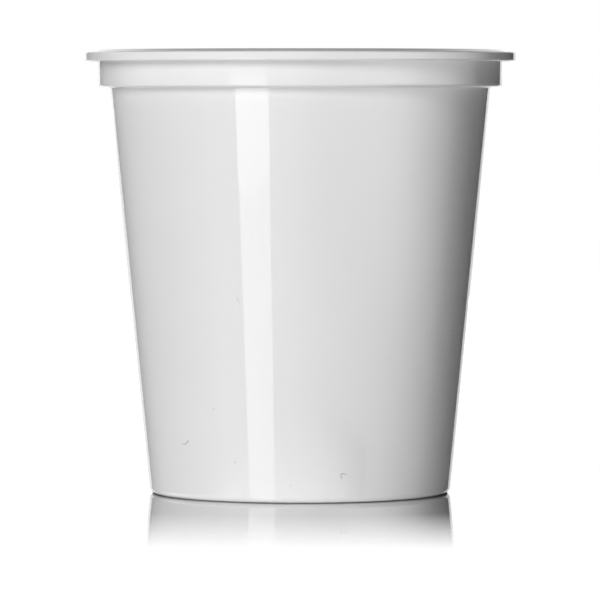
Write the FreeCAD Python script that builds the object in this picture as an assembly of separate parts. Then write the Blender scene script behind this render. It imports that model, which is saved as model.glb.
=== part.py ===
"""Round tapered plastic tub for chilled food, injection-moulded in one piece.

The tub is open at the top and stands on a narrow foot ring. Its straight wall
leans out to a stacking collar, and above the collar is a rim: a lip that turns
down so that a lid can clip over it, with a raised sealing bead round the mouth.

All sizes are in millimetres. +Z is up and is the tub's axis. The origin is the
centre of the foot ring, on the plane that the tub stands on.

Everything is turned about one axis, so the tub is a single half section, drawn
corner by corner and revolved. The outer face is drawn first, and the inner face
is offset from it by the wall, so the skin keeps its thickness when a size changes.
"""

import FreeCAD
import Part

import math
import os
from typing import NamedTuple

# ---- Overall sizes ----
RIM_DIAMETER = 95.0  # over the lip
HEIGHT = 97.4  # standing plane to the top of the sealing bead
BASE_DIAMETER = 66.0  # where the wall's outer face would meet the standing plane

# ---- Skin ----
WALL = 0.7  # side wall and collar, measured square to the face
BASE_THICKNESS = 0.8  # base panel and foot

# ---- Foot and base panel ----
BASE_CORNER_RADIUS = 1.4  # outer corner between wall and foot
BASE_INNER_RADIUS = 1.2  # the same corner inside the tub
FOOT_WIDTH = 1.6  # flat ring that touches the surface below
BASE_RECESS = 0.8  # how far the base panel is lifted clear of that surface
RECESS_SLOPE_DEG = 45.0  # slope from the foot up to the base panel
GATE_DIAMETER = 2.4  # injection point at the middle of the underside
GATE_HEIGHT = 0.3

# ---- Stacking collar ----
COLLAR_HEIGHT = 5.6  # its underside to the lip's lower edge
COLLAR_STEP = 2.55  # how far its foot stands out from the wall below
COLLAR_DRAFT_DEG = 0.5  # it widens slightly upwards, to leave the mould
COLLAR_CORNER_RADIUS = 0.6  # lower outer corner
COLLAR_FILLET = 0.4  # where its underside meets the wall

# ---- Rim ----
LIP_OVERHANG = 3.0  # lip beyond the collar's lower edge
LIP_DEPTH = 2.05  # height of the lip's outer edge
LIP_WALL = 0.9  # thickness of the lip's top and of its turned-down edge
LIP_TOP_RADIUS = 0.4
LIP_BOTTOM_RADIUS = 0.45
BEAD_HEIGHT = 0.5  # sealing bead above the lip
BEAD_LAND = 0.55  # flat width of the bead's top, from the mouth outwards
BEAD_SLOPE_DEG = 25.0  # fall of the bead's outer flank
MOUTH_RADIUS = 0.25  # rounding of the mouth's inner edge

# ---- Heights and radii that follow ----
lip_top = HEIGHT - BEAD_HEIGHT
lip_underside = lip_top - LIP_WALL  # inside the turned-down lip
lip_bottom = lip_top - LIP_DEPTH
collar_bottom = lip_bottom - COLLAR_HEIGHT
rim_radius = RIM_DIAMETER / 2
collar_radius = rim_radius - LIP_OVERHANG
wall_top_radius = collar_radius - COLLAR_STEP
base_radius = BASE_DIAMETER / 2
wall_draft = math.atan2(wall_top_radius - base_radius, collar_bottom)


class Corner(NamedTuple):
    """One corner of the half section: radius from the axis, height, rounding."""

    r: float
    z: float
    blend: float = 0.0


def collar_face_radius(z):
    """Radius of the collar's outer face at height z."""
    return collar_radius + (z - collar_bottom) * math.tan(math.radians(COLLAR_DRAFT_DEG))


def foot_inner_radius():
    """Inner edge of the flat foot ring, inside the rounded outer corner."""
    corner_run = BASE_CORNER_RADIUS * math.tan(math.pi / 4 - wall_draft / 2)
    return base_radius - corner_run - FOOT_WIDTH


def outer_face():
    """Outer corners from the axis below the base panel up to the collar's top."""
    recess_run = BASE_RECESS / math.tan(math.radians(RECESS_SLOPE_DEG))
    return [
        Corner(0.0, BASE_RECESS),
        Corner(foot_inner_radius() - recess_run, BASE_RECESS),
        Corner(foot_inner_radius(), 0.0),
        Corner(base_radius, 0.0, BASE_CORNER_RADIUS),
        Corner(wall_top_radius, collar_bottom, COLLAR_FILLET),
        Corner(collar_radius, collar_bottom, COLLAR_CORNER_RADIUS),
        Corner(collar_face_radius(lip_underside), lip_underside),
    ]


def offset_line(start, end, distance):
    """A line through two corners moved to its left: a point on it and its direction."""
    length = math.hypot(end.r - start.r, end.z - start.z)
    along = ((end.r - start.r) / length, (end.z - start.z) / length)
    return (start.r - along[1] * distance, start.z + along[0] * distance), along


def crossing(first, second):
    """Where two lines, each a point and a direction, cross."""
    (p, a), (q, b) = first, second
    scale = ((q[0] - p[0]) * b[1] - (q[1] - p[1]) * b[0]) / (a[0] * b[1] - a[1] * b[0])
    return p[0] + a[0] * scale, p[1] + a[1] * scale


def inner_face(outer):
    """Inner corners from the mouth down to the axis above the base panel."""
    thickness = [BASE_THICKNESS, BASE_THICKNESS, BASE_THICKNESS, WALL, WALL, WALL]
    # the collar's two corners share their centres of rounding with the outer face
    blends = [0.0, 0.0, BASE_INNER_RADIUS, COLLAR_FILLET + WALL, COLLAR_CORNER_RADIUS - WALL]
    lines = [offset_line(a, b, t) for a, b, t in zip(outer, outer[1:], thickness)]
    corners = [Corner(0.0, BASE_RECESS + BASE_THICKNESS)]
    for before, after, blend in zip(lines, lines[1:], blends):
        corners.append(Corner(*crossing(before, after), max(blend, 0.0)))
    mouth_line = ((0.0, HEIGHT), (1.0, 0.0))
    corners.append(Corner(*crossing(lines[-1], mouth_line), MOUTH_RADIUS))
    return corners[::-1]


def rim_face(mouth):
    """Corners of the lip and the sealing bead, from the collar round to the mouth."""
    bead_edge = mouth.r + BEAD_LAND
    bead_foot = bead_edge + BEAD_HEIGHT / math.tan(math.radians(BEAD_SLOPE_DEG))
    return [
        Corner(rim_radius - LIP_WALL, lip_underside),
        Corner(rim_radius - LIP_WALL, lip_bottom),
        Corner(rim_radius, lip_bottom, LIP_BOTTOM_RADIUS),
        Corner(rim_radius, lip_top, LIP_TOP_RADIUS),
        Corner(bead_foot, lip_top),
        Corner(bead_edge, HEIGHT),
    ]


def gate_mark():
    """Corners of the small nub at the injection point, below the base panel."""
    bottom = BASE_RECESS - GATE_HEIGHT
    return [
        Corner(0.0, bottom),
        Corner(GATE_DIAMETER / 2, bottom),
        Corner(GATE_DIAMETER / 2, BASE_RECESS),
    ]


def point(r, z):
    """A point of the half section, drawn in the XZ plane."""
    return FreeCAD.Vector(r, 0.0, z)


def rounded(before, corner, after):
    """Start, middle and end of the arc that rounds one corner."""
    tip = point(corner.r, corner.z)
    back = (point(before.r, before.z) - tip).normalize()
    onward = (point(after.r, after.z) - tip).normalize()
    half_angle = back.getAngle(onward) / 2
    reach = corner.blend / math.tan(half_angle)
    inward = (back + onward).normalize()
    middle = tip + inward * (corner.blend / math.sin(half_angle) - corner.blend)
    return tip + back * reach, middle, tip + onward * reach


def closed_wire(corners):
    """A closed wire through the corners, with an arc at each rounded one."""
    edges = []
    stops = []
    for i, corner in enumerate(corners):
        if corner.blend > 0.0:
            start, middle, end = rounded(corners[i - 1], corner, corners[(i + 1) % len(corners)])
            edges.append(Part.Arc(start, middle, end).toShape())
            stops.append((start, end))
        else:
            here = point(corner.r, corner.z)
            stops.append((here, here))
    for i, (_, leaving) in enumerate(stops):
        arriving = stops[(i + 1) % len(stops)][0]
        edges.append(Part.LineSegment(leaving, arriving).toShape())
    return Part.Wire(Part.__sortEdges__(edges))


def tub():
    """The whole tub: its half section turned once round the axis."""
    outer = outer_face()
    inner = inner_face(outer)
    # the gate mark takes the place of the outer face's first corner, on the axis
    section = gate_mark() + outer[1:] + rim_face(inner[0]) + inner
    face = Part.Face(closed_wire(section))
    origin = FreeCAD.Vector(0.0, 0.0, 0.0)
    axis = FreeCAD.Vector(0.0, 0.0, 1.0)
    return face.revolve(origin, axis, 360.0)


def main():
    """Write each node of the part as a STEP file in parts/."""
    os.makedirs("parts", exist_ok=True)
    shape = tub()
    shape.exportStep("parts/tub.step")
    print(f"tub: volume {shape.Volume:.1f} mm3, draft {math.degrees(wall_draft):.2f} degrees")


main()
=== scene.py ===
"""Round tapered plastic tub for chilled food, dressed and lit round its CAD model.

The tub is injection-moulded in one piece from opaque white polypropylene. It is drawn
up ring by ring, as the mould was turned: gate mark, base panel and foot ring, tapering
wall, stacking collar, turned-down lip, sealing bead, and back down the inside to the
floor. A few specks of dust and three fibres of lint cling to its wall.

The tub's sizes are in millimetres, and the studio's in metres unless they say
otherwise. +Z is up and is the tub's axis, the tub stands on z = 0, and the camera looks
along +Y.
"""

import logging
import math
from dataclasses import dataclass, field
from enum import Enum
from typing import NamedTuple

import bmesh
import bpy
from mathutils import Matrix, Vector

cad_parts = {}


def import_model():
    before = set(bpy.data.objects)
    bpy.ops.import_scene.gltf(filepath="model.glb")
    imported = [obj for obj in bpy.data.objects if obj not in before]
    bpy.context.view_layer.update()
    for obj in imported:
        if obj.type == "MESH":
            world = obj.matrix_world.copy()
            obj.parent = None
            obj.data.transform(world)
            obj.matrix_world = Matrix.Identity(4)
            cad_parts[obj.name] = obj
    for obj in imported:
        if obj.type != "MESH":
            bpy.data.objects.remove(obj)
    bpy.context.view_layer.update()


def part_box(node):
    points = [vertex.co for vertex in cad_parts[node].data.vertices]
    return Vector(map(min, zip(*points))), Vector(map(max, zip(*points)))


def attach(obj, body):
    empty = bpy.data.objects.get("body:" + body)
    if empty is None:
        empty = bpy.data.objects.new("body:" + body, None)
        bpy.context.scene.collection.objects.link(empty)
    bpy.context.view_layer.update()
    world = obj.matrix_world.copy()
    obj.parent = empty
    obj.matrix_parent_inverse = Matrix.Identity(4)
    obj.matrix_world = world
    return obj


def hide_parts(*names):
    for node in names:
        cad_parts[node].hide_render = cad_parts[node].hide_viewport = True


LOG = logging.getLogger("tub")
MM = 0.001
BODY = "root"
NODE = "tub"
WHITE = (1.0, 1.0, 1.0, 1.0)


# ---------------------------------------------------------------- small helpers


def linear(hex_colour: str) -> tuple[float, float, float, float]:
    """Turn an sRGB hex colour into linear RGBA.

    Args:
        hex_colour: a colour such as "#E4E4E4".

    Returns:
        Linear red, green and blue, and an alpha of 1.
    """
    shares = [int(hex_colour[i : i + 2], 16) / 255 for i in (1, 3, 5)]
    red, green, blue = (s / 12.92 if s <= 0.04045 else ((s + 0.055) / 1.055) ** 2.4 for s in shares)
    return red, green, blue, 1.0


def per_metre(pitch_mm: float) -> float:
    """Texture scale that gives a pattern this pitch, in millimetres."""
    return 1.0 / (pitch_mm * MM)


def node(tree: bpy.types.NodeTree, kind: str, settings: dict | None = None, **links) -> bpy.types.Node:
    """Add a node, with its settings and what feeds its inputs.

    Args:
        tree: the node tree that gets the node.
        kind: the node's type name, such as "ShaderNodeBump".
        settings: attributes of the node itself, such as its operation.
        links: inputs by name, with _ for a space, or by number as in i0. A value that is
            an output socket is linked, and anything else is set on the socket.

    Returns:
        The new node.
    """
    made = tree.nodes.new(kind)
    for name, value in (settings or {}).items():
        setattr(made, name, value)
    for name, value in links.items():
        numbered = name[0] == "i" and name[1:].isdigit()
        socket = made.inputs[int(name[1:]) if numbered else name.replace("_", " ")]
        if isinstance(value, bpy.types.NodeSocket):
            tree.links.new(value, socket)
        else:
            socket.default_value = value
    return made


def grey(level: float) -> tuple[float, float, float, float]:
    """A neutral colour, where 1 is white."""
    return level, level, level, 1.0


def empty_material(name: str) -> bpy.types.Material:
    """A material with nodes switched on and none in it."""
    material = bpy.data.materials.new(name)
    material.use_nodes = True
    material.node_tree.nodes.clear()
    return material


def deselect_all() -> None:
    """Leave nothing selected and no active object, in object mode."""
    if bpy.context.object is not None and bpy.context.object.mode != "OBJECT":
        bpy.ops.object.mode_set(mode="OBJECT")
    bpy.ops.object.select_all(action="DESELECT")
    bpy.context.view_layer.objects.active = None


def finish_piece(piece: bpy.types.Object, finish: "MouldedPolypropylene | Grime") -> bpy.types.Object:
    """Give a piece its finish, tie it to the tub's body, and report it.

    Args:
        piece: a finished mesh.
        finish: what it is made of.

    Returns:
        The piece.
    """
    for face in piece.data.polygons:
        face.use_smooth = True
    piece.data.materials.append(finish.material())
    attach(piece, BODY)
    LOG.info("%s: %d faces", piece.name, len(piece.data.polygons))
    return piece


def around(azimuth: float, radius: float, height: float) -> Vector:
    """A point round the tub's axis.

    Args:
        azimuth: degrees from the camera's side, -Y, turning towards +X.
        radius: distance from the axis.
        height: height above the standing plane, in the radius's unit.

    Returns:
        The point, in the same unit.
    """
    turn = math.radians(azimuth)
    return Vector((math.sin(turn) * radius, -math.cos(turn) * radius, height))


# ---------------------------------------------------------------- finishes


@dataclass(frozen=True)
class MouldedPolypropylene:
    """Injection-moulded polypropylene, opaque white, from a polished steel mould.

    To the eye: a milky near-white with a sharp but soft-edged gloss. The gloss wavers a
    little where the skin froze unevenly, fine lines run up the wall where the mould drew
    off it, and the foot ring is rubbed dull where it slides on shelves.
    """

    name: str = "moulded_polypropylene"
    body: str = "#E4E4E4"
    thin_flow: str = "#DFDFDF"  # slightly greyer where the melt ran thin
    index: float = 1.49  # polypropylene
    gloss: float = 0.035  # roughness of the polished skin
    dull: float = 0.06  # roughness of its duller patches
    rubbed: float = 0.34  # roughness of the rubbed foot ring
    flow_pitch: float = 24.0  # mm, clouding of the melt
    peel_pitch: float = 2.6  # mm, waver of the frozen skin
    peel_depth: float = 0.0012  # mm
    draw_pitch: float = 0.5  # mm, lines left by the mould, coarser than real so they show
    draw_stretch: float = 60.0  # how much longer than wide those lines are
    draw_depth: float = 0.0004  # mm
    rubbed_height: float = 0.5  # mm above the standing plane
    polished_below: float = 0.35  # value of the lines' noise, up to which the skin is polished
    dull_above: float = 0.65  # value of the same noise, from which it is dull

    def material(self) -> bpy.types.Material:
        """Build the material.

        Returns:
            The material, read in Object coordinates.
        """
        material = empty_material(self.name)
        tree = material.node_tree
        place = node(tree, "ShaderNodeTexCoord").outputs["Object"]
        flow = self._noise(tree, place, self.flow_pitch, 2.0)
        peel = self._noise(tree, place, self.peel_pitch, 1.0)
        stretched = node(tree, "ShaderNodeMapping", i0=place, Scale=(1.0, 1.0, 1.0 / self.draw_stretch))
        draw = self._noise(tree, stretched.outputs[0], self.draw_pitch, 2.0)
        colour = node(
            tree,
            "ShaderNodeMix",
            {"data_type": "RGBA"},
            Factor=flow,
            i6=linear(self.thin_flow),
            i7=linear(self.body),
        )
        skin = node(
            tree,
            "ShaderNodeMapRange",
            Value=draw,
            From_Min=self.polished_below,
            From_Max=self.dull_above,
            To_Min=self.gloss,
            To_Max=self.dull,
        )
        foot = node(
            tree,
            "ShaderNodeMapRange",
            {"interpolation_type": "SMOOTHSTEP"},
            Value=node(tree, "ShaderNodeSeparateXYZ", i0=place).outputs["Z"],
            From_Min=0.0,
            From_Max=self.rubbed_height * MM,
            To_Min=1.0,
            To_Max=0.0,
        )
        roughness = node(
            tree,
            "ShaderNodeMix",
            {"data_type": "FLOAT"},
            i0=foot.outputs[0],
            i2=skin.outputs[0],
            i3=self.rubbed,
        )
        lines = node(tree, "ShaderNodeBump", Strength=1.0, Distance=self.draw_depth * MM, Height=draw)
        waver = node(
            tree,
            "ShaderNodeBump",
            Strength=1.0,
            Distance=self.peel_depth * MM,
            Height=peel,
            Normal=lines.outputs[0],
        )
        shader = node(
            tree,
            "ShaderNodeBsdfPrincipled",
            Base_Color=colour.outputs[2],
            Roughness=roughness.outputs[0],
            Normal=waver.outputs[0],
            IOR=self.index,
        )
        node(tree, "ShaderNodeOutputMaterial", Surface=shader.outputs[0])
        return material

    @staticmethod
    def _noise(
        tree: bpy.types.NodeTree, place: bpy.types.NodeSocket, pitch: float, detail: float
    ) -> bpy.types.NodeSocket:
        """The value of a noise with this pitch in millimetres."""
        made = node(tree, "ShaderNodeTexNoise", Vector=place, Scale=per_metre(pitch), Detail=detail)
        return made.outputs[0]


@dataclass(frozen=True)
class Grime:
    """Matt grey-brown lint or dust, which takes the light like cloth."""

    name: str
    colour: str
    roughness: float = 0.9
    specular: float = 0.2

    def material(self) -> bpy.types.Material:
        """Build the material.

        Returns:
            The material, evenly coloured because the bits are so small.
        """
        material = empty_material(self.name)
        shader = node(
            material.node_tree,
            "ShaderNodeBsdfPrincipled",
            Base_Color=linear(self.colour),
            Roughness=self.roughness,
            Specular_IOR_Level=self.specular,
        )
        node(material.node_tree, "ShaderNodeOutputMaterial", Surface=shader.outputs[0])
        return material


# ---------------------------------------------------------------- the tub


class Ring(NamedTuple):
    """One ring of the tub's skin, in millimetres: where it is and how it is rounded."""

    radius: float
    height: float
    rounding: float = 0.0


@dataclass(frozen=True)
class Foot:
    """Gate mark, raised base panel and foot ring, with the floor above them."""

    radius: float = 33.0  # where the wall's outer face would meet the standing plane
    thickness: float = 0.8
    corner: float = 1.4  # outer corner
    inner_corner: float = 1.2
    ring_width: float = 1.6  # flat ring that touches the shelf
    recess: float = 0.8  # rise of the base panel, on a 45 degree slope
    gate_radius: float = 1.2
    gate_height: float = 0.3
    gate_edge: float = 0.1
    soft_edge: float = 0.25  # rounding of the edges left by the mould's inserts
    rows: int = 3  # rings across the panel, to keep its faces short

    def ring_inside(self, draft: float) -> float:
        """Inner radius of the flat foot ring, for a wall that leans by draft radians."""
        corner_run = self.corner * math.tan(math.pi / 4 - draft / 2)
        return self.radius - corner_run - self.ring_width

    def outside(self, draft: float) -> list[Ring]:
        """Rings from the gate mark out to the foot's outer corner.

        Args:
            draft: the wall's lean, in radians.

        Returns:
            The rings, innermost first.
        """
        inside = self.ring_inside(draft)
        panel = inside - self.recess
        bottom = self.recess - self.gate_height
        rings = [
            Ring(self.gate_radius / 2, bottom),
            Ring(self.gate_radius, bottom, self.gate_edge),
            Ring(self.gate_radius, self.recess, self.gate_edge),
        ]
        for row in range(1, self.rows):
            rings.append(Ring(panel * row / self.rows, self.recess))
        rings.append(Ring(panel, self.recess, self.soft_edge))
        rings.append(Ring(inside, 0.0, self.soft_edge))
        rings.append(Ring(self.radius, 0.0, self.corner))
        return rings

    def inside(self, draft: float, wall_inside: float) -> list[Ring]:
        """Rings from the inner bottom corner in to the middle of the floor.

        Args:
            draft: the wall's lean, in radians.
            wall_inside: radius of the wall's inner face at the foot's upper side.

        Returns:
            The rings, outermost first.
        """
        shift = self.thickness * math.tan(math.pi / 8)
        low = self.ring_inside(draft) + shift
        top = self.recess + self.thickness
        panel = low - self.recess
        rings = [
            Ring(wall_inside, self.thickness, self.inner_corner),
            Ring(low, self.thickness, self.soft_edge),
            Ring(panel, top, self.soft_edge),
        ]
        for row in range(self.rows - 1, 0, -1):
            rings.append(Ring(panel * row / self.rows, top))
        rings.append(Ring(self.gate_radius, top))
        return rings


@dataclass(frozen=True)
class Wall:
    """The straight wall that leans out from the foot to the collar."""

    foot_radius: float
    top_radius: float
    top: float
    thickness: float = 0.7
    rows: int = 16  # rings up the wall, to keep its faces short

    @property
    def draft(self) -> float:
        """Lean of the wall from upright, in radians."""
        return math.atan2(self.top_radius - self.foot_radius, self.top)

    def radius(self, height: float) -> float:
        """Radius of the outer face at a height."""
        return self.foot_radius + height * math.tan(self.draft)

    def inner_radius(self, height: float) -> float:
        """Radius of the inner face at a height."""
        return self.radius(height) - self.thickness / math.cos(self.draft)

    def heights(self, low: float, high: float) -> list[float]:
        """Heights of the rings between two heights, both left out."""
        return [low + (high - low) * row / self.rows for row in range(1, self.rows)]


@dataclass(frozen=True)
class Collar:
    """The stacking collar: a step out from the wall and a nearly upright band."""

    radius: float
    bottom: float
    thickness: float = 0.7
    draft_degrees: float = 0.5
    corner: float = 0.6  # lower outer corner
    inner_corner: float = 0.15
    fillet: float = 0.4  # where its underside meets the wall

    def face(self, height: float) -> float:
        """Radius of the outer face at a height."""
        return self.radius + (height - self.bottom) * math.tan(math.radians(self.draft_degrees))

    def inner_face(self, height: float) -> float:
        """Radius of the inner face at a height."""
        return self.face(height) - self.thickness / math.cos(math.radians(self.draft_degrees))


@dataclass(frozen=True)
class Rim:
    """The lip, which turns down round the collar, and the sealing bead on top of it."""

    radius: float
    top: float  # top of the bead
    lip_depth: float = 2.05
    lip_thickness: float = 0.9
    top_corner: float = 0.4
    bottom_corner: float = 0.45
    root_corner: float = 0.2  # inside corners of the hollow below the lip
    bead_height: float = 0.5
    bead_land: float = 0.55
    bead_slope_degrees: float = 25.0
    bead_edge: float = 0.2
    mouth_corner: float = 0.25

    @property
    def lip_top(self) -> float:
        """Height of the lip's flat top."""
        return self.top - self.bead_height

    @property
    def lip_underside(self) -> float:
        """Height of the roof of the hollow below the lip."""
        return self.lip_top - self.lip_thickness

    @property
    def lip_bottom(self) -> float:
        """Height of the lip's lower edge."""
        return self.lip_top - self.lip_depth

    def rings(self, collar: Collar) -> list[Ring]:
        """Rings from the collar's top, round the lip and the bead, to the mouth.

        Args:
            collar: the collar that the lip turns down round.

        Returns:
            The rings, in order along the skin.
        """
        skirt = self.radius - self.lip_thickness
        mouth = collar.inner_face(self.top)
        bead = mouth + self.bead_land
        bead_foot = bead + self.bead_height / math.tan(math.radians(self.bead_slope_degrees))
        return [
            Ring(collar.face(self.lip_underside), self.lip_underside, self.root_corner),
            Ring(skirt, self.lip_underside, self.root_corner),
            Ring(skirt, self.lip_bottom, self.root_corner),
            Ring(self.radius, self.lip_bottom, self.bottom_corner),
            Ring(self.radius, self.lip_top, self.top_corner),
            Ring(bead_foot, self.lip_top, self.top_corner),
            Ring(bead, self.top, self.bead_edge),
            Ring(mouth, self.top, self.mouth_corner),
        ]


@dataclass(frozen=True)
class Turner:
    """Draws a closed round piece up from one circle, ring by ring."""

    sides: int = 288
    arc_step_degrees: float = 9.0  # turn between the rows of a rounded edge
    near: float = 0.004  # mm, within which a point belongs to a ring

    def turn(self, name: str, rings: list[Ring]) -> bpy.types.Object:
        """Make the piece.

        Args:
            name: the piece's name.
            rings: its rings in order along the skin, from one end on the axis to the other.

        Returns:
            The piece, closed at both ends, with every named edge rounded.
        """
        deselect_all()
        first = rings[0]
        bpy.ops.mesh.primitive_circle_add(
            vertices=self.sides,
            radius=first.radius * MM,
            fill_type="NOTHING",
            location=(0.0, 0.0, first.height * MM),
        )
        piece = bpy.context.active_object
        piece.name = name
        piece.data.name = name
        bpy.ops.object.transform_apply(location=True, rotation=True, scale=True)
        bpy.ops.object.mode_set(mode="EDIT")
        bpy.ops.mesh.select_mode(type="EDGE")
        bpy.ops.mesh.select_all(action="SELECT")
        for here, there in zip(rings, rings[1:]):
            rise = (there.height - here.height) * MM
            bpy.ops.mesh.extrude_region_move(TRANSFORM_OT_translate={"value": (0.0, 0.0, rise)})
            growth = there.radius / here.radius
            bpy.ops.transform.resize(value=(growth, growth, 1.0), center_override=(0.0, 0.0, 0.0))
        for end in (rings[0], rings[-1]):
            self._select(piece, end)
            bpy.ops.mesh.edge_face_add()
        for before, ring, after in zip(rings, rings[1:], rings[2:]):
            if ring.rounding > 0.0:
                self._round(piece, before, ring, after)
        bpy.ops.mesh.select_all(action="SELECT")
        bpy.ops.mesh.normals_make_consistent(inside=False)
        bpy.ops.object.mode_set(mode="OBJECT")
        return piece

    def _select(self, piece: bpy.types.Object, ring: Ring) -> None:
        """Select the edges that lie along one ring, and nothing else.

        Args:
            piece: the piece, in edit mode.
            ring: the ring, before any of its rounding is made.
        """
        bpy.ops.mesh.select_all(action="DESELECT")
        mesh = bmesh.from_edit_mesh(piece.data)
        for edge in mesh.edges:
            edge.select_set(all(self._on(ring, vertex.co) for vertex in edge.verts))
        bmesh.update_edit_mesh(piece.data)

    def _on(self, ring: Ring, place: Vector) -> bool:
        """True if a point lies on a ring."""
        if abs(place.z / MM - ring.height) > self.near:
            return False
        return abs(math.hypot(place.x, place.y) / MM - ring.radius) <= self.near

    def _round(self, piece: bpy.types.Object, before: Ring, ring: Ring, after: Ring) -> None:
        """Bevel one ring to its radius of rounding.

        Args:
            piece: the piece, in edit mode.
            before: the ring before it along the skin.
            ring: the ring to round.
            after: the ring after it.
        """
        back = Vector((before.radius - ring.radius, before.height - ring.height))
        onward = Vector((after.radius - ring.radius, after.height - ring.height))
        corner = back.angle(onward)
        self._select(piece, ring)
        bpy.ops.mesh.bevel(
            offset_type="OFFSET",
            offset=ring.rounding * MM / math.tan(corner / 2),
            segments=max(2, round(math.degrees(math.pi - corner) / self.arc_step_degrees)),
            profile=0.5,
            affect="EDGES",
            clamp_overlap=False,
        )


@dataclass
class Tub:
    """The tub itself, one moulded skin with an outer and an inner face."""

    rim_radius: float
    height: float
    collar_height: float = 5.6
    collar_step: float = 2.55
    lip_overhang: float = 3.0
    finish: MouldedPolypropylene = field(default_factory=MouldedPolypropylene)
    turner: Turner = field(default_factory=Turner)
    smooth_below_degrees: float = 50.0

    def __post_init__(self) -> None:
        """Work out the sections from the overall sizes."""
        self.rim = Rim(self.rim_radius, self.height)
        bottom = self.rim.lip_bottom - self.collar_height
        self.collar = Collar(self.rim_radius - self.lip_overhang, bottom)
        self.foot = Foot()
        self.wall = Wall(self.foot.radius, self.collar.radius - self.collar_step, bottom)

    def rings(self) -> list[Ring]:
        """Draw the whole skin.

        Returns:
            Its rings, from the gate mark round the rim to the floor's middle.
        """
        wall, collar, foot = self.wall, self.collar, self.foot
        rings = foot.outside(wall.draft)
        for height in wall.heights(0.0, collar.bottom):
            rings.append(Ring(wall.radius(height), height))
        rings.append(Ring(wall.top_radius, collar.bottom, collar.fillet))
        rings.append(Ring(collar.radius, collar.bottom, collar.corner))
        rings.extend(self.rim.rings(collar))
        ledge = collar.bottom + wall.thickness
        rings.append(Ring(collar.inner_face(ledge), ledge, collar.inner_corner))
        rings.append(Ring(wall.inner_radius(ledge), ledge, collar.fillet + wall.thickness))
        for height in reversed(wall.heights(foot.thickness, ledge)):
            rings.append(Ring(wall.inner_radius(height), height))
        rings.extend(foot.inside(wall.draft, wall.inner_radius(foot.thickness)))
        return rings

    def build(self) -> bpy.types.Object:
        """Make the tub's mesh, smooth its shading and put it in the CAD tub's place.

        Returns:
            The piece, dressed.
        """
        piece = self.turner.turn("tub_moulding", self.rings())
        bpy.ops.object.shade_smooth_by_angle(angle=math.radians(self.smooth_below_degrees))
        weighted = piece.modifiers.new("weighted_normals", "WEIGHTED_NORMAL")
        weighted.keep_sharp = True
        bpy.ops.object.modifier_apply(modifier=weighted.name)
        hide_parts(NODE)
        return finish_piece(piece, self.finish)


# ---------------------------------------------------------------- dirt on the wall


class Spot(NamedTuple):
    """A place on the wall: azimuth in degrees, height in mm."""

    azimuth: float
    height: float


def on_wall(wall: Wall, spot: Spot, along: float = 0.0, up: float = 0.0, lift: float = 0.0) -> Vector:
    """A point on the wall, or just off it.

    Args:
        wall: the wall.
        spot: the place that the other distances are measured from.
        along: mm round the wall from there, towards +X at the front.
        up: mm above there.
        lift: mm out from the wall's face.

    Returns:
        The point, in metres.
    """
    radius = wall.radius(spot.height + up)
    azimuth = spot.azimuth + math.degrees(along / radius)
    return around(azimuth, radius + lift, spot.height + up) * MM


class Fibre(NamedTuple):
    """One fibre of lint, which clings to the wall."""

    spot: Spot
    bends: tuple[tuple[float, float], ...]  # mm along and up the wall from the spot
    stoutness: float = 1.0  # share of a full fibre's thickness


@dataclass(frozen=True)
class Lint:
    """Short bent fibres that cling to the wall."""

    fibres: tuple[Fibre, ...] = (
        Fibre(Spot(-46.1, 12.5), ((-0.95, -0.38), (-0.3, -0.4), (0.35, -0.05), (0.95, 0.5))),
        Fibre(Spot(16.1, 5.9), ((-0.35, -0.58), (-0.62, 0.13), (-0.13, 0.51), (0.66, 0.19)), 0.8),
        Fibre(Spot(-20.9, 43.7), ((-0.26, 0.60), (-0.04, 0.22), (0.08, -0.12), (0.36, -0.52)), 0.5),
    )
    thickness: float = 0.14  # mm
    round_steps: int = 2  # Blender's bevel resolution, which rounds a fibre's section
    bend_steps: int = 6  # along each stretch between two bends
    finish: Grime = Grime("lint", "#A8A6A0")

    def build(self, wall: Wall) -> bpy.types.Object:
        """Lay the fibres on the wall and join them into one piece.

        Args:
            wall: the tub's wall.

        Returns:
            The piece, dressed.
        """
        deselect_all()
        curve = bpy.data.curves.new("lint_fibres", "CURVE")
        curve.dimensions = "3D"
        curve.bevel_depth = self.thickness / 2 * MM
        curve.bevel_resolution = self.round_steps
        curve.resolution_u = self.bend_steps
        curve.use_fill_caps = True
        for fibre in self.fibres:
            spline = curve.splines.new("BEZIER")
            spline.bezier_points.add(len(fibre.bends) - 1)
            for stop, (along, up) in zip(spline.bezier_points, fibre.bends):
                lift = self.thickness / 2 * fibre.stoutness
                stop.co = on_wall(wall, fibre.spot, along, up, lift)
                stop.radius = fibre.stoutness
                stop.handle_left_type = "AUTO"
                stop.handle_right_type = "AUTO"
        piece = bpy.data.objects.new("lint_fibres", curve)
        bpy.context.scene.collection.objects.link(piece)
        piece.select_set(True)
        bpy.context.view_layer.objects.active = piece
        bpy.ops.object.convert(target="MESH")
        return finish_piece(bpy.context.active_object, self.finish)


class Speck(NamedTuple):
    """One speck of dust: where it clings, and its size along and up the wall in mm."""

    spot: Spot
    along: float
    up: float


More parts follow.
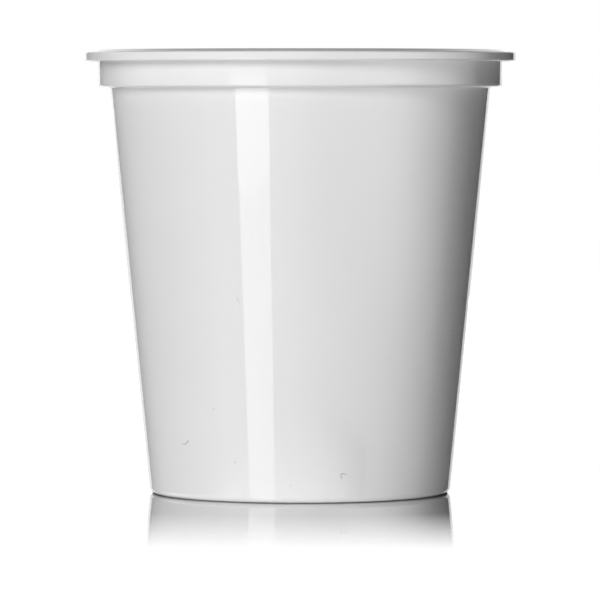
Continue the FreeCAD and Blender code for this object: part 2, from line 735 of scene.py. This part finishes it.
@dataclass(frozen=True)
class Dust:
    """A few flat specks of dust on the wall."""

    specks: tuple[Speck, ...] = (
        Speck(Spot(-32.0, 20.1), 0.32, 0.30),
        Speck(Spot(-24.2, 8.7), 0.48, 0.26),
        Speck(Spot(-3.5, 3.9), 0.30, 0.22),
        Speck(Spot(64.1, 36.3), 0.60, 0.36),
    )
    thickness: float = 0.10  # mm, half of it sunk into the wall
    finish: Grime = Grime("dust", "#C0BEB8")

    def build(self, wall: Wall) -> bpy.types.Object:
        """Stick the specks on the wall and join them into one piece.

        Args:
            wall: the tub's wall.

        Returns:
            The piece, dressed.
        """
        made = []
        for speck in self.specks:
            deselect_all()
            bpy.ops.mesh.primitive_ico_sphere_add(subdivisions=2, radius=0.5)
            bit = bpy.context.active_object
            turn = Matrix.Rotation(math.radians(speck.spot.azimuth), 4, "Z")
            size = Matrix.Diagonal((speck.along * MM, self.thickness * MM, speck.up * MM, 1.0))
            bit.matrix_world = Matrix.Translation(on_wall(wall, speck.spot)) @ turn @ size
            bpy.ops.object.transform_apply(location=True, rotation=True, scale=True)
            made.append(bit)
        for bit in made:
            bit.select_set(True)
        bpy.ops.object.join()
        piece = bpy.context.active_object
        piece.name = "dust_specks"
        piece.data.name = "dust_specks"
        return finish_piece(piece, self.finish)


# ---------------------------------------------------------------- the studio


class Seen(Enum):
    """Which rays see a thing in the studio."""

    BY_GLOSS = "gloss"
    BY_MATT = "matt"
    BY_ALL_BUT_GLOSS = "all but gloss"


def show(thing: bpy.types.Object, seen: Seen) -> None:
    """Limit a thing in the studio to some kinds of ray.

    Args:
        thing: a lamp, a card, the tent or the floor.
        seen: the rays that see it.
    """
    thing.visible_camera = seen is Seen.BY_ALL_BUT_GLOSS
    thing.visible_diffuse = seen is not Seen.BY_GLOSS
    thing.visible_glossy = seen is Seen.BY_GLOSS
    thing.visible_transmission = seen is not Seen.BY_GLOSS
    thing.visible_shadow = seen is not Seen.BY_GLOSS


@dataclass(frozen=True)
class Lamp:
    """An upright soft panel that lights the tub but isn't mirrored in it.

    A panel below the table top, which lets its light through, stands for the light that
    comes back off the glossy white acrylic.
    """

    name: str
    azimuth: float  # degrees round the tub from the camera's side, towards +X
    level: float  # light on an upright white card at the tub that faces it, where 1 is white
    high: float  # elevation of its upper edge, in degrees
    low: float
    distance: float = 1.1  # metres
    width: float = 0.3

    def power(self) -> float:
        """Work out the panel's power from its level and its angle seen from the tub.

        Returns:
            Power in Blender's watts.
        """
        high, low = math.radians(self.high), math.radians(self.low)
        rise = math.tan(high) - math.tan(low)
        share = (high - low) / 2 + (math.sin(2 * high) - math.sin(2 * low)) / 4
        return self.level * math.pi**2 * self.distance**2 * rise / share

    def build(self) -> bpy.types.Object:
        """Hang the panel upright, facing the tub's axis.

        Returns:
            The lamp.
        """
        top = self.distance * math.tan(math.radians(self.high))
        bottom = self.distance * math.tan(math.radians(self.low))
        light = bpy.data.lights.new(self.name, "AREA")
        light.shape = "RECTANGLE"
        light.size = self.width
        light.size_y = top - bottom
        light.energy = self.power()
        lamp = bpy.data.objects.new(self.name, light)
        bpy.context.scene.collection.objects.link(lamp)
        lamp.location = around(self.azimuth, self.distance, (top + bottom) / 2)
        inwards = -around(self.azimuth, 1.0, 0.0)
        lamp.rotation_euler = inwards.to_track_quat("-Z", "Y").to_euler()
        show(lamp, Seen.BY_MATT)
        return lamp


@dataclass(frozen=True)
class MouthLight:
    """Even light from above, let in through the mouth alone.

    A disc just inside the mouth lights the inside as a pale room would, and leaves the
    rim and the outside to the lamps.
    """

    mouth_radius: float  # mm
    rim_height: float  # mm above the standing plane
    clearance: float = 0.86  # mm between the disc and the skin
    drop: float = 0.4  # mm from the top of the rim down to the disc
    level: float = 0.42  # light on a white card laid across the mouth, where 1 is white

    def build(self) -> bpy.types.Object:
        """Lay the disc across the mouth, facing down.

        Returns:
            The lamp.
        """
        radius = (self.mouth_radius - self.clearance) * MM
        light = bpy.data.lights.new("light_through_mouth", "AREA")
        light.shape = "DISK"
        light.size = 2.0 * radius
        light.energy = self.level * math.pi**2 * radius**2
        lamp = bpy.data.objects.new("light_through_mouth", light)
        bpy.context.scene.collection.objects.link(lamp)
        lamp.location = (0.0, 0.0, (self.rim_height - self.drop) * MM)
        show(lamp, Seen.BY_MATT)
        return lamp


def glow_material(name: str, level: float) -> bpy.types.Material:
    """An evenly glowing surface.

    Args:
        name: the material's name.
        level: how bright it is, where 0 is black and 1 is white.

    Returns:
        The material.
    """
    material = empty_material(name)
    tree = material.node_tree
    glow = node(tree, "ShaderNodeEmission", Color=WHITE, Strength=level)
    node(tree, "ShaderNodeOutputMaterial", Surface=glow.outputs[0])
    material.cycles.emission_sampling = "NONE"
    return material


@dataclass(frozen=True)
class Card:
    """An upright card or softbox that is only seen mirrored in the tub."""

    name: str
    azimuth: float  # degrees round the tub from the camera's side, towards +X
    spread: float  # degrees that it spans, seen from the tub's axis
    top: float  # metres above the standing plane
    bottom: float
    level: float  # how bright it is, where 1 is white
    distance: float = 0.7  # metres

    def build(self) -> bpy.types.Object:
        """Stand the card up, facing the tub.

        Returns:
            The card.
        """
        deselect_all()
        width = 2.0 * self.distance * math.tan(math.radians(self.spread / 2))
        bpy.ops.mesh.primitive_plane_add(size=1.0)
        card = bpy.context.active_object
        card.name = self.name
        place = around(self.azimuth, self.distance, (self.top + self.bottom) / 2)
        turn = Matrix.Rotation(math.radians(self.azimuth), 4, "Z")
        upright = Matrix.Rotation(math.pi / 2, 4, "X")
        size = Matrix.Diagonal((width, self.top - self.bottom, 1.0, 1.0))
        card.matrix_world = Matrix.Translation(place) @ turn @ upright @ size
        bpy.ops.object.transform_apply(location=True, rotation=True, scale=True)
        card.data.materials.append(glow_material(f"{self.name}_glow", self.level))
        show(card, Seen.BY_GLOSS)
        return card


class Shade(NamedTuple):
    """How bright a ring of cards is at one azimuth."""

    azimuth: float  # degrees round the tub from the camera's side, towards +X
    level: float  # where 1 is white


class Rise(NamedTuple):
    """How a ring's glow changes between two heights, in metres."""

    low: float
    high: float
    low_share: float = 1.0  # share of the shades' levels, up to the low height
    high_share: float = 1.0  # the same, from the high height up


@dataclass(frozen=True)
class CardRing:
    """A ring of white, grey and black cards, only seen mirrored in the tub."""

    name: str
    shades: tuple[Shade, ...]
    top: float  # metres above the standing plane
    bottom: float
    rise: Rise = Rise(-1.0, 1.0)
    radius: float = 0.9  # metres
    sides: int = 180

    def build(self) -> bpy.types.Object:
        """Stand the cards round the tub, from the first shade's azimuth to the last's.

        Returns:
            The ring, open between those two.
        """
        deselect_all()
        bpy.ops.mesh.primitive_cylinder_add(
            vertices=self.sides,
            radius=self.radius,
            depth=self.top - self.bottom,
            end_fill_type="NOTHING",
            location=(0.0, 0.0, (self.top + self.bottom) / 2),
        )
        cards = bpy.context.active_object
        cards.name = self.name
        bpy.ops.object.transform_apply(location=True, rotation=True, scale=True)
        bpy.ops.object.mode_set(mode="EDIT")
        bpy.ops.mesh.select_mode(type="FACE")
        bpy.ops.mesh.select_all(action="DESELECT")
        mesh = bmesh.from_edit_mesh(cards.data)
        for face in mesh.faces:
            middle = face.calc_center_median()
            azimuth = math.degrees(math.atan2(middle.x, -middle.y))
            face.select_set(not self.shades[0].azimuth < azimuth < self.shades[-1].azimuth)
        bmesh.update_edit_mesh(cards.data)
        bpy.ops.mesh.delete(type="FACE")
        bpy.ops.object.mode_set(mode="OBJECT")
        cards.data.materials.append(self._material())
        show(cards, Seen.BY_GLOSS)
        return cards

    def _material(self) -> bpy.types.Material:
        """Glow that changes round the axis as the shades say, and up it as the rise says.

        Returns:
            The material.
        """
        material = empty_material(f"{self.name}_glow")
        tree = material.node_tree
        place = node(tree, "ShaderNodeTexCoord").outputs["Object"]
        # a quarter turn puts the middle of the gradient at the camera's side, -Y
        turned = node(tree, "ShaderNodeMapping", i0=place, Rotation=(0.0, 0.0, math.pi / 2))
        turn = node(tree, "ShaderNodeTexGradient", {"gradient_type": "RADIAL"}, Vector=turned.outputs[0])
        ramp = node(tree, "ShaderNodeValToRGB", Fac=turn.outputs["Fac"])
        stops = ramp.color_ramp.elements
        while len(stops) < len(self.shades):
            stops.new(0.5)
        brightest = max(shade.level for shade in self.shades)
        for stop, shade in zip(stops, self.shades):
            stop.position = 0.5 + shade.azimuth / 360.0
            stop.color = grey(shade.level / brightest)
        level = node(
            tree,
            "ShaderNodeMapRange",
            Value=node(tree, "ShaderNodeSeparateXYZ", i0=place).outputs["Z"],
            From_Min=self.rise.low,
            From_Max=self.rise.high,
            To_Min=self.rise.low_share * brightest,
            To_Max=self.rise.high_share * brightest,
        )
        glow = node(tree, "ShaderNodeEmission", Color=ramp.outputs[0], Strength=level.outputs[0])
        node(tree, "ShaderNodeOutputMaterial", Surface=glow.outputs[0])
        material.cycles.emission_sampling = "NONE"
        return material


@dataclass(frozen=True)
class PaintedGapShade:
    """Painted shade: a black disc, only seen mirrored in the foot's rounded edge, that stands for the
    dark gap between that edge and the table.
    """

    foot_radius: float  # mm
    inset: float = 0.1  # mm in from the foot's outline
    depth: float = 0.02  # mm below the table's plane
    sides: int = 96

    def build(self) -> bpy.types.Object:
        """Lay a black disc under the foot, as painted shade.

        Returns:
            The disc.
        """
        deselect_all()
        bpy.ops.mesh.primitive_circle_add(
            vertices=self.sides,
            radius=(self.foot_radius - self.inset) * MM,
            fill_type="NGON",
            location=(0.0, 0.0, -self.depth * MM),
        )
        disc = bpy.context.active_object
        disc.name = "painted_shade_under_foot"
        bpy.ops.object.transform_apply(location=True, rotation=True, scale=True)
        # the disc's black is painted shade, seen mirrored in the foot's rounded edge
        disc.data.materials.append(glow_material("painted_shade_black", 0.0))
        show(disc, Seen.BY_GLOSS)
        disc.visible_shadow = True  # keeps light from below the table off the underside
        return disc


@dataclass(frozen=True)
class Tent:
    """White walls lit from outside, with a dimmer roof, only seen mirrored."""

    radius: float = 2.2  # metres
    segments: int = 48
    rows: int = 24
    level: float = 1.25  # of the walls
    roof_share: float = 0.15  # how bright the roof is beside the walls
    walls_top: float = 0.9  # metres above the table
    roof_bottom: float = 1.6

    def build(self) -> bpy.types.Object:
        """Put the tent over the table.

        Returns:
            The tent, a half sphere that stands on the table's plane.
        """
        deselect_all()
        bpy.ops.mesh.primitive_uv_sphere_add(
            segments=self.segments,
            ring_count=self.rows,
            radius=self.radius,
        )
        tent = bpy.context.active_object
        tent.name = "white_tent"
        bpy.ops.object.mode_set(mode="EDIT")
        bpy.ops.mesh.select_all(action="SELECT")
        bpy.ops.mesh.bisect(plane_co=(0.0, 0.0, 0.0), plane_no=(0.0, 0.0, 1.0), clear_inner=True)
        bpy.ops.object.mode_set(mode="OBJECT")
        tent.data.materials.append(self._material())
        show(tent, Seen.BY_GLOSS)
        return tent

    def _material(self) -> bpy.types.Material:
        """White glow that dims from the walls up to the roof.

        Returns:
            The material.
        """
        material = empty_material("tent_glow")
        tree = material.node_tree
        place = node(tree, "ShaderNodeTexCoord").outputs["Object"]
        level = node(
            tree,
            "ShaderNodeMapRange",
            {"interpolation_type": "SMOOTHSTEP"},
            Value=node(tree, "ShaderNodeSeparateXYZ", i0=place).outputs["Z"],
            From_Min=self.walls_top,
            From_Max=self.roof_bottom,
            To_Min=self.level,
            To_Max=self.level * self.roof_share,
        )
        glow = node(tree, "ShaderNodeEmission", Color=WHITE, Strength=level.outputs[0])
        node(tree, "ShaderNodeOutputMaterial", Surface=glow.outputs[0])
        material.cycles.emission_sampling = "NONE"
        return material


@dataclass(frozen=True)
class Floor:
    """A glossy white table top, which mirrors the tub close to it."""

    size: float = 4.0  # metres
    white: float = 0.8  # how much of the light it sends back to the tub without gloss
    # painted shade: the glow is dimmer close to the tub than far off, and the real lighting on top lifts
    # it to white outside the tub's shadow
    glow: float = 0.93  # white that the camera sees close to the tub
    shadow: float = 0.30  # share of real lighting on top of it, which keeps the shadow
    shadow_gone: float = 260.0  # mm from the axis, where the glow is all there is
    mirror: float = 0.82  # how much of the light its gloss sends back
    mirror_roughness: float = 0.004
    mirror_full: float = 66.0  # mm from the axis, up to which the mirror is at its best
    mirror_gone: float = 154.0
    steep: float = 0.5  # Layer Weight's facing value, up to which the gloss is faint
    grazing: float = 0.92  # the same value, from which it is full
    steep_gloss: float = 0.08  # share of the gloss that is left in a steep view

    def build(self) -> bpy.types.Object:
        """Lay the floor under the tub.

        Returns:
            The floor.
        """
        deselect_all()
        bpy.ops.mesh.primitive_plane_add(size=self.size)
        floor = bpy.context.active_object
        floor.name = "table_top"
        floor.data.materials.append(self._material())
        show(floor, Seen.BY_ALL_BUT_GLOSS)
        floor.visible_shadow = False  # lets light from the panels below it through
        return floor

    def _material(self) -> bpy.types.Material:
        """White to the camera, with a mirror and a faint shadow near the tub: real shadow from the lit
        part, over a glow painted dimmer close to the tub.

        Returns:
            The material.
        """
        material = empty_material("white_acrylic")
        tree = material.node_tree
        matt = node(tree, "ShaderNodeBsdfDiffuse", Color=grey(self.white))
        place = node(tree, "ShaderNodeTexCoord").outputs["Object"]
        off_axis = node(tree, "ShaderNodeVectorMath", {"operation": "LENGTH"}, i0=place)
        # painted shade: the glow rises from its dimmed level close to the tub to full white farther out
        glow_with_painted_shade = node(
            tree,
            "ShaderNodeMapRange",
            {"interpolation_type": "SMOOTHSTEP"},
            Value=off_axis.outputs["Value"],
            From_Min=self.mirror_full * MM,
            From_Max=self.shadow_gone * MM,
            To_Min=self.glow,
            To_Max=1.0,
        )
        glow = node(tree, "ShaderNodeEmission", Strength=glow_with_painted_shade.outputs[0])
        lit = node(tree, "ShaderNodeBsdfDiffuse", Color=grey(self.shadow))
        white = node(tree, "ShaderNodeAddShader", i0=glow.outputs[0], i1=lit.outputs[0])
        mirror = node(
            tree,
            "ShaderNodeBsdfAnisotropic",
            Color=grey(self.mirror),
            Roughness=self.mirror_roughness,
        )
        near = node(
            tree,
            "ShaderNodeMapRange",
            Value=off_axis.outputs["Value"],
            From_Min=self.mirror_full * MM,
            From_Max=self.mirror_gone * MM,
            To_Min=1.0,
            To_Max=0.0,
        )
        # gloss grows as the view grazes the surface
        weight = node(tree, "ShaderNodeLayerWeight", Blend=0.5)
        sheen = node(
            tree,
            "ShaderNodeMapRange",
            Value=weight.outputs["Facing"],
            From_Min=self.steep,
            From_Max=self.grazing,
            To_Min=self.steep_gloss,
            To_Max=1.0,
        )
        share = node(
            tree,
            "ShaderNodeMath",
            {"operation": "MULTIPLY"},
            i0=near.outputs[0],
            i1=sheen.outputs[0],
        )
        seen = node(
            tree,
            "ShaderNodeMixShader",
            i0=share.outputs[0],
            i1=white.outputs[0],
            i2=mirror.outputs[0],
        )
        path = node(tree, "ShaderNodeLightPath")
        surface = node(
            tree,
            "ShaderNodeMixShader",
            i0=path.outputs["Is Camera Ray"],
            i1=matt.outputs[0],
            i2=seen.outputs[0],
        )
        node(tree, "ShaderNodeOutputMaterial", Surface=surface.outputs[0])
        return material


@dataclass(frozen=True)
class Studio:
    """Floor, tent, cards, lamps, background and camera."""

    tub: Tub
    lamps: tuple[Lamp, ...] = (
        Lamp("key_lamp", azimuth=-24.0, level=0.441, high=38.0, low=15.0),
        Lamp("table_shine", azimuth=2.0, level=0.16, high=0.0, low=-15.0),
        Lamp("table_glow", azimuth=-24.0, level=0.263, high=-15.0, low=-38.0),
        Lamp("rear_left", azimuth=-135.0, level=0.34, high=15.0, low=0.5),
        Lamp("rear_right", azimuth=172.0, level=0.68, high=15.0, low=0.5),
        Lamp("rear_high", azimuth=-170.0, level=0.12, high=48.0, low=32.0),
    )
    cards: tuple[Card, ...] = (
        Card("strip_softbox", azimuth=-28.35, spread=20.1, top=0.081, bottom=-0.075, level=3.9),
        Card("strip_in_table", azimuth=-28.35, spread=19.4, top=-0.075, bottom=-1.1, level=2.9),
    )
    rings: tuple[CardRing, ...] = (
        # what the table's gloss mirrors: black on the left, bright on the right
        CardRing(
            "cards_in_table",
            (
                Shade(-156.0, 0.0),
                Shade(-45.0, 0.0),
                Shade(-20.0, 0.1),
                Shade(10.0, 0.1),
                Shade(50.0, 0.9),
                Shade(62.0, 1.0),
                Shade(72.0, 0.9),
                Shade(112.0, 0.1),
                Shade(132.0, 0.0),
                Shade(156.0, 0.0),
            ),
            top=0.0,
            bottom=-1.6,
            rise=Rise(-0.25, -0.09, 0.5, 3.6),
        ),
        # low white cards, brightest on the right, and black ones behind
        CardRing(
            "cards_on_table",
            (
                Shade(-156.0, 0.0),
                Shade(-125.0, 0.0),
                Shade(-95.0, 1.5),
                Shade(15.0, 1.5),
                Shade(50.0, 4.2),
                Shade(61.0, 4.4),
                Shade(88.0, 3.0),
                Shade(118.0, 0.1),
                Shade(156.0, 0.0),
            ),
            top=0.25,
            bottom=0.0,
        ),
        # the pale table in front, for the round edge of the foot to mirror
        CardRing(
            "front_in_table",
            (
                Shade(-150.0, 0.0),
                Shade(-120.0, 1.6),
                Shade(30.0, 1.6),
                Shade(50.0, 0.0),
            ),
            top=-0.195,
            bottom=-0.6,
            rise=Rise(-0.235, -0.195, 1.0, 0.0),
            radius=0.85,
        ),
    )
    ambient: float = 0.02  # of the background, as far as it lights matt surfaces
    camera_distance: float = 1.169  # metres in front of the axis
    camera_height: float = 0.0892
    camera_pitch_degrees: float = 2.295
    lens: float = 318.9  # mm
    sensor: float = 36.0  # mm wide
    clip_near: float = 0.05  # metres
    clip_far: float = 50.0

    def build(self) -> None:
        """Set the studio up round the tub."""
        Floor().build()
        Tent().build()
        PaintedGapShade(self.tub.foot.radius).build()
        for ring in self.rings:
            ring.build()
        for card in self.cards:
            card.build()
        for lamp in self.lamps:
            lamp.build()
        MouthLight(self.tub.collar.inner_face(self.tub.height), self.tub.height).build()
        self._background()
        self._camera()
        counts = (len(self.lamps) + 1, len(self.cards), len(self.rings))
        LOG.info("studio: %d lamps, %d cards and %d rings of cards", *counts)

    def _background(self) -> None:
        """Add a background, white to the eye and in reflections, dim to matt surfaces."""
        world = bpy.data.worlds.new("white_background")
        world.use_nodes = True
        tree = world.node_tree
        tree.nodes.clear()
        dim = node(tree, "ShaderNodeBackground", Color=WHITE, Strength=self.ambient)
        white = node(tree, "ShaderNodeBackground", Color=WHITE, Strength=1.0)
        path = node(tree, "ShaderNodeLightPath")
        direct = node(
            tree,
            "ShaderNodeMath",
            {"operation": "MAXIMUM"},
            i0=path.outputs["Is Camera Ray"],
            i1=path.outputs["Is Glossy Ray"],
        )
        seen = node(
            tree,
            "ShaderNodeMath",
            {"operation": "MAXIMUM"},
            i0=direct.outputs[0],
            i1=path.outputs["Is Transmission Ray"],
        )
        sky = node(
            tree,
            "ShaderNodeMixShader",
            i0=seen.outputs[0],
            i1=dim.outputs[0],
            i2=white.outputs[0],
        )
        node(tree, "ShaderNodeOutputWorld", Surface=sky.outputs[0])
        bpy.context.scene.world = world

    def _camera(self) -> None:
        """Stand the camera in front of the tub, just below its rim."""
        data = bpy.data.cameras.new("camera")
        data.lens = self.lens
        data.sensor_width = self.sensor
        data.clip_start = self.clip_near
        data.clip_end = self.clip_far
        camera = bpy.data.objects.new("camera", data)
        bpy.context.scene.collection.objects.link(camera)
        camera.location = (0.0, -self.camera_distance, self.camera_height)
        camera.rotation_euler = (math.radians(90.0 - self.camera_pitch_degrees), 0.0, 0.0)
        bpy.context.scene.camera = camera


# ---------------------------------------------------------------- the whole


def main() -> None:
    """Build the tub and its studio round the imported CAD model."""
    logging.basicConfig(level=logging.INFO, format="%(name)s: %(message)s")
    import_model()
    low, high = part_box(NODE)
    tub = Tub(rim_radius=(high.x - low.x) / 2 / MM, height=high.z / MM)
    tub.build()
    Lint().build(tub.wall)
    Dust().build(tub.wall)
    Studio(tub).build()
    bpy.context.scene.view_settings.view_transform = "Standard"


if __name__ == "__main__":
    main()
